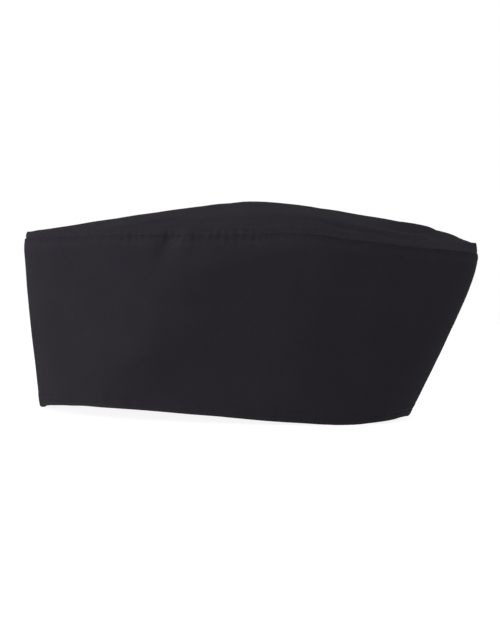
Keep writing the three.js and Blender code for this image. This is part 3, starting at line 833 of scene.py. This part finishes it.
hem_row = running_stitches("hem_stitches", lambda a: wall_height(a) - STITCH_UP, 0.0)
hem_row_inside = running_stitches(
    "hem_stitches_inside", lambda a: wall_height(a) - STITCH_UP, INSIDE_FACE, facing=-1
)
crown_overlock = overlock(
    "crown_overlock", lambda a: ALLOWANCE_DROP + ALLOWANCE + 0 * a, CROWN_OVERLOCK_REACH, INSIDE_FACE
)


def back_overlock():
    """The overlocked edges of both pressed-open allowances at the back"""
    paths, normals = [], []
    per_mm = BACK_HALF / (BACK_ALLOWANCE / 2)
    share = np.linspace(0, 1, 4)
    reach = BACK_OVERLOCK_REACH
    for side in (-1, 1):
        edge = math.pi + side * (BACK_HALF - 0.2 * per_mm)
        top, low = 2.2 + ALLOWANCE, float(wall_height(np.array(edge))) - HEM - 1
        for depth in np.arange(top, low, OVERLOCK_PITCH):
            for start, end, out, inner in ((0, 1, 0, reach), (1.1, 2.1, reach, 0)):
                spots = edge - side * per_mm * mix(out, inner, share)
                depths = depth + mix(start, end, share)
                paths.append(band_face(spots, depths, INSIDE_FACE + 0.12 * np.sin(math.pi * share)))
                normals.append(-out_of(spots))
            spots = edge - side * per_mm * reach + 0 * share
            paths.append(band_face(spots, depth + 2 * share, INSIDE_FACE + 0.1 + 0 * share))
            normals.append(-out_of(spots))
    return thread_mesh(
        "back_overlock", np.array(paths), np.array(normals), OVERLOCK_RADIUS, overlock_thread
    )


back_threads = back_overlock()

for piece, node, slot in (
    (band, "side_band", "band_cloth"), (crown, "crown", "crown_cloth"), (hem, "hem", "inside_cloth"),
    (allowance, "crown_seam_allowance", "inside_cloth"), (back, "back_seam_allowance", "inside_cloth"),
):
    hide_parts(node)
for piece in (band, crown, hem, allowance, back, hem_row, hem_row_inside, crown_overlock, back_threads):
    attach(piece, "root")


# The place that every lamp faces, in metres
LIT_SPOT = (0, 0, 0.06)


# A white table in a white surround. The key lamp is broad and low, on the near side towards the front;
# a low strip lights the front, and a high lamp the rear.
def make_floor():
    n = Nodes("white_table")
    spot = n.add("ShaderNodeTexCoord").outputs["Object"]
    grain = n.add("ShaderNodeTexNoise", {"Vector": spot, "Scale": 60.0}).outputs["Fac"]
    base = n.blend(grain, colour(0.11, 0.11, 0.11), colour(0.14, 0.14, 0.14))
    shader = n.add("ShaderNodeBsdfPrincipled", {
        "Base Color": base, "Roughness": 0.9, "Specular IOR Level": 0.1,
        "Emission Color": colour(1, 1, 1), "Emission Strength": 0.9,
    }).outputs[0]
    n.add("ShaderNodeOutputMaterial", {"Surface": shader})
    mesh = bpy.data.meshes.new("white_table")
    half = 12.0
    corners = [(-half, -half, 0), (half, -half, 0), (half, half, 0), (-half, half, 0)]
    mesh.from_pydata(corners, [], [(0, 1, 2, 3)])
    mesh.materials.append(n.material)
    floor = bpy.data.objects.new("white_table", mesh)
    bpy.context.scene.collection.objects.link(floor)


def make_light(name, place, size, power):
    data = bpy.data.lights.new(name, "AREA")
    data.shape, data.size, data.size_y, data.energy = "RECTANGLE", size[0], size[1], power
    lamp = bpy.data.objects.new(name, data)
    bpy.context.scene.collection.objects.link(lamp)
    back_way = unit(np.array(place, float) - np.array(LIT_SPOT, float))
    side = unit(np.cross((0, 0, 1), back_way))
    up = np.cross(back_way, side)
    lamp.matrix_world = Matrix([
        (side[0], up[0], back_way[0], place[0]), (side[1], up[1], back_way[1], place[1]),
        (side[2], up[2], back_way[2], place[2]), (0, 0, 0, 1),
    ])


make_floor()
make_light("key", (-1.0, -1.2, 0.33), (0.9, 0.65), 15.0)
make_light("front", (-1.55, -0.25, 0.1), (1.1, 0.17), 17.0)
make_light("rear", (0.95, -0.4, 1.1), (0.9, 0.9), 6.0)

world = bpy.data.worlds.new("surround")
world.use_nodes = True
background = world.node_tree.nodes["Background"]
background.inputs["Color"].default_value = colour(1, 1, 1)
background.inputs["Strength"].default_value = 1.0
scene = bpy.context.scene
scene.world = world
scene.view_settings.view_transform = "Standard"
scene.view_settings.look = "None"
scene.view_settings.exposure = 0.0
scene.view_settings.gamma = 1.0

# The camera: level, 0.7 m from the middle of the cap, turned a little about its line of sight. Its lens
# gives the photo's size of a pixel on the cap's middle plane.
SENSOR, PICTURE_LONG_SIDE = 36.0, 625
CAMERA_DISTANCE, PIXEL_SIZE = 0.7, 0.00053
CAMERA_ASIDE, CAMERA_UP, CAMERA_TILT = 0.00085, 0.0527, 1.9
camera_data = bpy.data.cameras.new("camera")
camera_data.sensor_fit = "AUTO"
camera_data.sensor_width = SENSOR
camera_data.lens = SENSOR / PICTURE_LONG_SIDE * CAMERA_DISTANCE / PIXEL_SIZE
camera_data.clip_start, camera_data.clip_end = 0.01, 60.0
camera = bpy.data.objects.new("camera", camera_data)
scene.collection.objects.link(camera)
tilt = math.radians(CAMERA_TILT)
c, s = math.cos(tilt), math.sin(tilt)
camera.matrix_world = Matrix([
    (c, -s, 0, CAMERA_ASIDE), (0, 0, -1, -CAMERA_DISTANCE), (s, c, 0, CAMERA_UP), (0, 0, 0, 1),
])
scene.camera = camera
